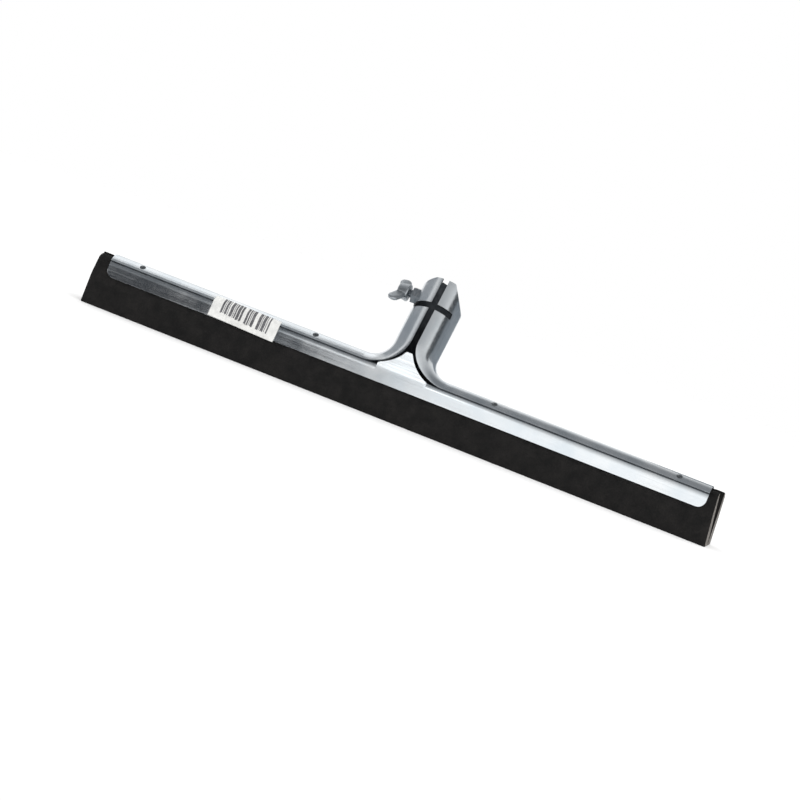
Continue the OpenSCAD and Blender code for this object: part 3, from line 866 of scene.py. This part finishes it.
def camera():
    """The camera that was solved for the photograph."""
    azimuth = math.radians(CAMERA_AZIMUTH)
    elevation = math.radians(CAMERA_ELEVATION)
    roll = math.radians(CAMERA_ROLL)
    back = Vector((math.sin(azimuth) * math.cos(elevation), -math.cos(azimuth) * math.cos(elevation),
                   math.sin(elevation)))
    right = Vector((math.cos(azimuth), math.sin(azimuth), 0))
    up = back.cross(right)
    turned_right = right * math.cos(roll) + up * math.sin(roll)
    turned_up = up * math.cos(roll) - right * math.sin(roll)
    eye = bpy.data.objects.new("photo_camera", bpy.data.cameras.new("photo_camera"))
    eye.data.sensor_width = SENSOR_WIDTH
    eye.data.lens = LENS
    eye.data.clip_end = 20
    eye.matrix_world = Matrix((turned_right, turned_up, back)).transposed().to_4x4()
    eye.location = (Vector(CAMERA_TARGET) + back * CAMERA_DISTANCE) * MM
    bpy.context.scene.collection.objects.link(eye)
    bpy.context.scene.camera = eye


def sheet_of_floor():
    """A white floor that fades into the white background before it ends."""
    half, solid, gone = 1500, 0.5, 1.2
    bm = bmesh.new()
    bmesh.ops.create_grid(bm, x_segments=8, y_segments=8, size=half)
    material = floor_paint()
    tree = material.node_tree
    place = add(tree, "ShaderNodeTexCoord").outputs["Object"]
    far = add(tree, "ShaderNodeVectorMath", {0: place}, operation="LENGTH").outputs["Value"]
    fade = add(tree, "ShaderNodeMapRange", {"Value": far, "From Min": solid, "From Max": gone})
    clear = add(tree, "ShaderNodeBsdfTransparent")
    end = next(n for n in tree.nodes if n.type == "OUTPUT_MATERIAL")
    paint = end.inputs["Surface"].links[0].from_socket
    mixed = add(tree, "ShaderNodeMixShader", {0: fade.outputs[0], 1: paint, 2: clear.outputs[0]})
    tree.links.new(mixed.outputs[0], end.inputs["Surface"])
    floor = make_piece("studio_floor", bm, material)


def felt_screen(name, corner, along, across, dark, light):
    """A flat screen from one corner along two edges, out of the picture, for the metal to mirror."""
    bm = bmesh.new()
    start, run, rise = Vector(corner), Vector(along), Vector(across)
    grow_grid(bm, [[start, start + rise], [start + run, start + run + rise]])
    material, tree = new_material(name + "_felt")
    place = add(tree, "ShaderNodeTexCoord").outputs["Object"]
    felt = add(tree, "ShaderNodeTexNoise", {"Vector": place, "Scale": per_mm(300), "Detail": 2.0})
    tint = add(tree, "ShaderNodeValToRGB", {"Fac": felt.outputs["Fac"]}, ramp=((0, dark), (1, light)))
    shader = add(tree, "ShaderNodeBsdfDiffuse", {"Color": tint.outputs[0]})
    add(tree, "ShaderNodeOutputMaterial", {"Surface": shader.outputs[0]})
    screen = make_piece(name, bm, material)
    screen.visible_camera = False
    screen.visible_diffuse = False
    screen.visible_shadow = False


def felt_screens():
    """Screens for the metal to mirror: darker ones round the part, and a white card over the left."""
    up = (0, 0, 1500)
    felt_screen("front_screen", (-540, -2000, 0), (-2060, 0, 0), (0, 0, 950), "#2f3033", "#47484b")
    felt_screen("tall_screen", (-720, -2000, 950), (-1880, 0, 0), (0, 0, 2550), "#55575a", "#6f7174")
    felt_screen("left_screen", (-2600, -1200, 0), (0, 3400, 0), (0, 0, 2200), "#868a8f", "#a2a5a9")
    felt_screen("right_screen", (2000, -500, 400), (0, 850, 0), up, "#2a2d30", "#44484c")
    felt_screen("back_screen", (2000, 350, 0), (0, 2250, 0), up, "#6c7278", "#8a9096")
    felt_screen("low_screen", (110, 450, 0), (790, 0, 0), (0, 0, 350), "#6c7278", "#8a9096")
    felt_screen("white_card", (-550, -150, 2000), (-1250, 0, 0), (0, 2950, 0), "#eeeeee", "#f8f8f8")


def softbox(name, width, height, energy, place, turn):
    """A soft lamp that the metal mirrors and the camera doesn't see."""
    panel = bpy.data.lights.new(name, "AREA")
    panel.shape = "RECTANGLE"
    panel.size = width * MM
    panel.size_y = height * MM
    panel.energy = energy
    box = bpy.data.objects.new(name, panel)
    box.location = Vector(place) * MM
    box.rotation_euler = turn
    box.visible_camera = False
    bpy.context.scene.collection.objects.link(box)


def studio_light():
    """White background and soft even light. The metal mirrors white walls that dim towards the top."""
    world = bpy.data.worlds.new("white_studio")
    world.use_nodes = True
    bpy.context.scene.world = world
    tree = world.node_tree
    tree.nodes.clear()
    path = add(tree, "ShaderNodeLightPath")
    way = add(tree, "ShaderNodeTexCoord").outputs["Generated"]
    rise = add(tree, "ShaderNodeSeparateXYZ", {"Vector": way}).outputs["Z"]
    walls = add(tree, "ShaderNodeValToRGB", {"Fac": rise}, ramp=((0.5, "#ffffff"), (0.95, "#85878a")))
    soft = add(tree, "ShaderNodeBackground", {"Color": srgb("#ffffff"), "Strength": 1.0})
    shine = add(tree, "ShaderNodeBackground", {"Color": walls.outputs[0], "Strength": 1.0})
    white = add(tree, "ShaderNodeBackground", {"Color": srgb("#ffffff"), "Strength": 1.0})
    lit = add(tree, "ShaderNodeMixShader", {
        0: path.outputs["Is Glossy Ray"], 1: soft.outputs[0], 2: shine.outputs[0]})
    seen = add(tree, "ShaderNodeMixShader", {
        0: path.outputs["Is Camera Ray"], 1: lit.outputs[0], 2: white.outputs[0]})
    add(tree, "ShaderNodeOutputWorld", {"Surface": seen.outputs[0]})
    lamp = bpy.data.lights.new("soft_key", "AREA")
    lamp.shape = "DISK"
    lamp.size = 1.4
    lamp.energy = 9
    key = bpy.data.objects.new("soft_key", lamp)
    key.location = (0.7, -0.9, 1.7)
    key.rotation_euler = (-key.location).to_track_quat("-Z", "Y").to_euler()
    key.visible_glossy = False
    bpy.context.scene.collection.objects.link(key)
    upright, level = (math.pi / 2, 0, 0), (0, 0, 0)
    softbox("front_softbox", width=640, height=650, energy=0.39, place=(-200, -2000, 625), turn=upright)
    softbox("tongue_softbox", width=200, height=500, energy=0.3, place=(-520, -2000, 1150), turn=upright)
    softbox("roof_softbox", width=1250, height=2000, energy=2.4, place=(-1175, 1550, 1980), turn=level)


def build():
    """Makes the pieces, then the studio round them."""
    bpy.context.scene.view_settings.view_transform = "Standard"
    camera()
    zinc = bright_zinc()
    steel = screw_steel()
    pressed_frame(zinc, shaded_inner_zinc())
    front_plate(zinc)
    rubber_blades(cellular_rubber(), cut_rubber())
    threaded_stud(steel)
    cast_wing_head(cast_zinc())
    paper_label(label_paper(), label_ink())
    finish_cad("plate_rivets", rivet_steel(), RIVET_EDGE)
    finish_cad("weld_nut", steel, NUT_EDGE)
    sheet_of_floor()
    felt_screens()
    studio_light()


build()
